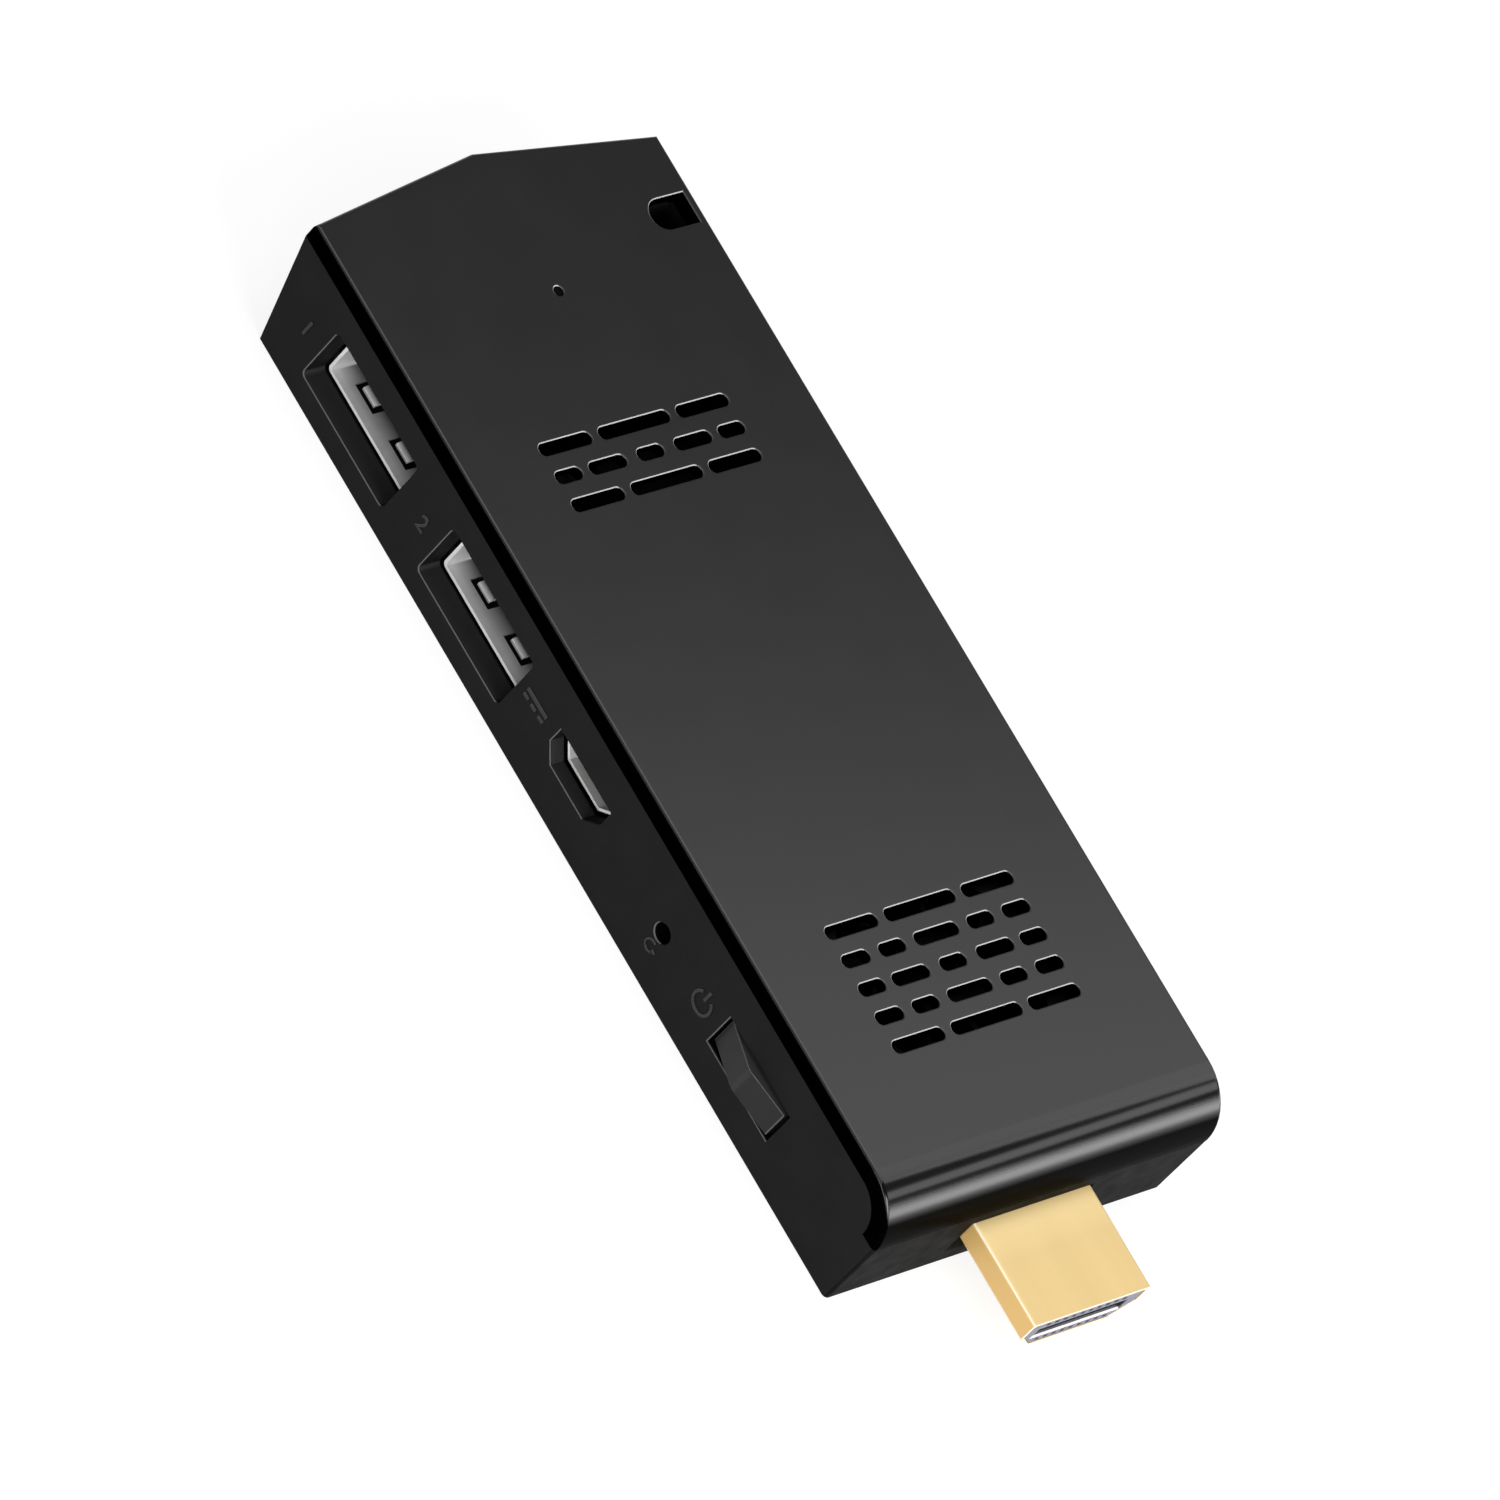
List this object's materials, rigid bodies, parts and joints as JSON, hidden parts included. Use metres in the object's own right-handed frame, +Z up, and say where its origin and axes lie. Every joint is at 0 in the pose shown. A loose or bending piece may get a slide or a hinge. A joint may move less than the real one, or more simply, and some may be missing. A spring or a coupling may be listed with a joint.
{
  "type": "hdmi stick computer",
  "caption": "Flat stick computer with an HDMI plug on one end, USB sockets, micro-USB power inlet, reset hole and power rocker along one side, and vent slots in its cover.",
  "frame": {"origin": "On the underside, at the case's mid-width and at the middle of the length from the gabled far end to the plug's tip", "axes": "+X along the length towards the HDMI plug, +Z up through the vented cover, so the sockets, reset hole and rocker are on the -Y side"},
  "size_m": [0.1116, 0.0406, 0.0129],
  "materials": {
    "cover_plastic": "satin top face, polished side band and nose",
    "case_plastic": "fine matt moulded surface",
    "rocker_plastic": "satin moulded surface",
    "plug_gold": "gold-plated folded sheet",
    "contact_gold": "gold-plated strip",
    "socket_steel": "bright nickel-plated folded sheet",
    "screw_steel": "blackened steel",
    "plug_insert": "moulded glass-filled plastic",
    "socket_insert": "moulded glass-filled plastic",
    "board_laminate": "solder mask over glass-fibre laminate",
    "chip_resin": "moulded chip resin",
    "shield_steel": "tinned steel can",
    "pad_rubber": "soft heat-conducting silicone",
    "sink_aluminium": "extruded, bead-blasted",
    "fan_plastic": "moulded glass-filled plastic",
    "coil_copper": "enamelled copper winding",
    "lead_rubber": "soft insulated ribbon lead",
    "socket_white": "moulded nylon",
    "lamp_resin": "clear-capped lamp",
    "pipe_clear": "clear moulded light pipe",
    "ceramic": "fired ceramic"
  },
  "bodies": {
    "stick": {"top_cover": "cover_plastic", "bottom_case": "case_plastic", "hdmi_shell": "plug_gold", "hdmi_insulator": "plug_insert", "hdmi_contacts_upper": "contact_gold", "hdmi_contacts_lower": "contact_gold", "usb_shell_1": "socket_steel", "usb_shell_2": "socket_steel", "usb_tongue_1": "socket_insert", "usb_tongue_2": "socket_insert", "usb_contacts_1": "contact_gold", "usb_contacts_2": "contact_gold", "micro_usb_shell": "socket_steel", "micro_usb_tongue": "socket_insert", "micro_usb_contacts": "contact_gold", "reset_switch": "socket_insert", "rocker_pin": "screw_steel", "power_switch": "socket_insert", "main_board": "board_laminate", "case_screws": "screw_steel", "processor_package": "chip_resin", "thermal_pad": "pad_rubber", "heat_sink": "sink_aluminium", "heat_sink_screws": "screw_steel", "memory_chips": "chip_resin", "storage_chip": "chip_resin", "wifi_module": "shield_steel", "antenna": "ceramic", "power_controller": "chip_resin", "power_inductors": "chip_resin", "capacitors": "ceramic", "crystal": "shield_steel", "status_lamp": "lamp_resin", "light_pipe": "pipe_clear", "fan_frame": "fan_plastic", "fan_stator": "coil_copper", "fan_screws": "screw_steel", "fan_socket": "socket_white", "fan_lead": "lead_rubber", "card_socket": "shield_steel"},
    "power_rocker": {"power_rocker": "rocker_plastic"},
    "reset_button": {"reset_button": "rocker_plastic"},
    "fan_rotor": {"fan_rotor": "fan_plastic"}
  },
  "joints": [
    {"name": "power_rocker_tilt", "type": "hinge", "parent": "stick", "child": "power_rocker", "pos_m": [0.02746, -0.0177, 0.00546], "axis": [0, 0, 1], "range_deg": [0, 6.8]},
    {"name": "reset_press", "type": "slide", "parent": "stick", "child": "reset_button", "axis": [0, 1, 0], "range_m": [0, 0.00025], "stiffness_N_per_m": 600},
    {"name": "fan_spin", "type": "hinge", "parent": "stick", "child": "fan_rotor", "pos_m": [0.02565, 0, 0.009], "axis": [0, 0, 1], "continuous": true}
  ]
}
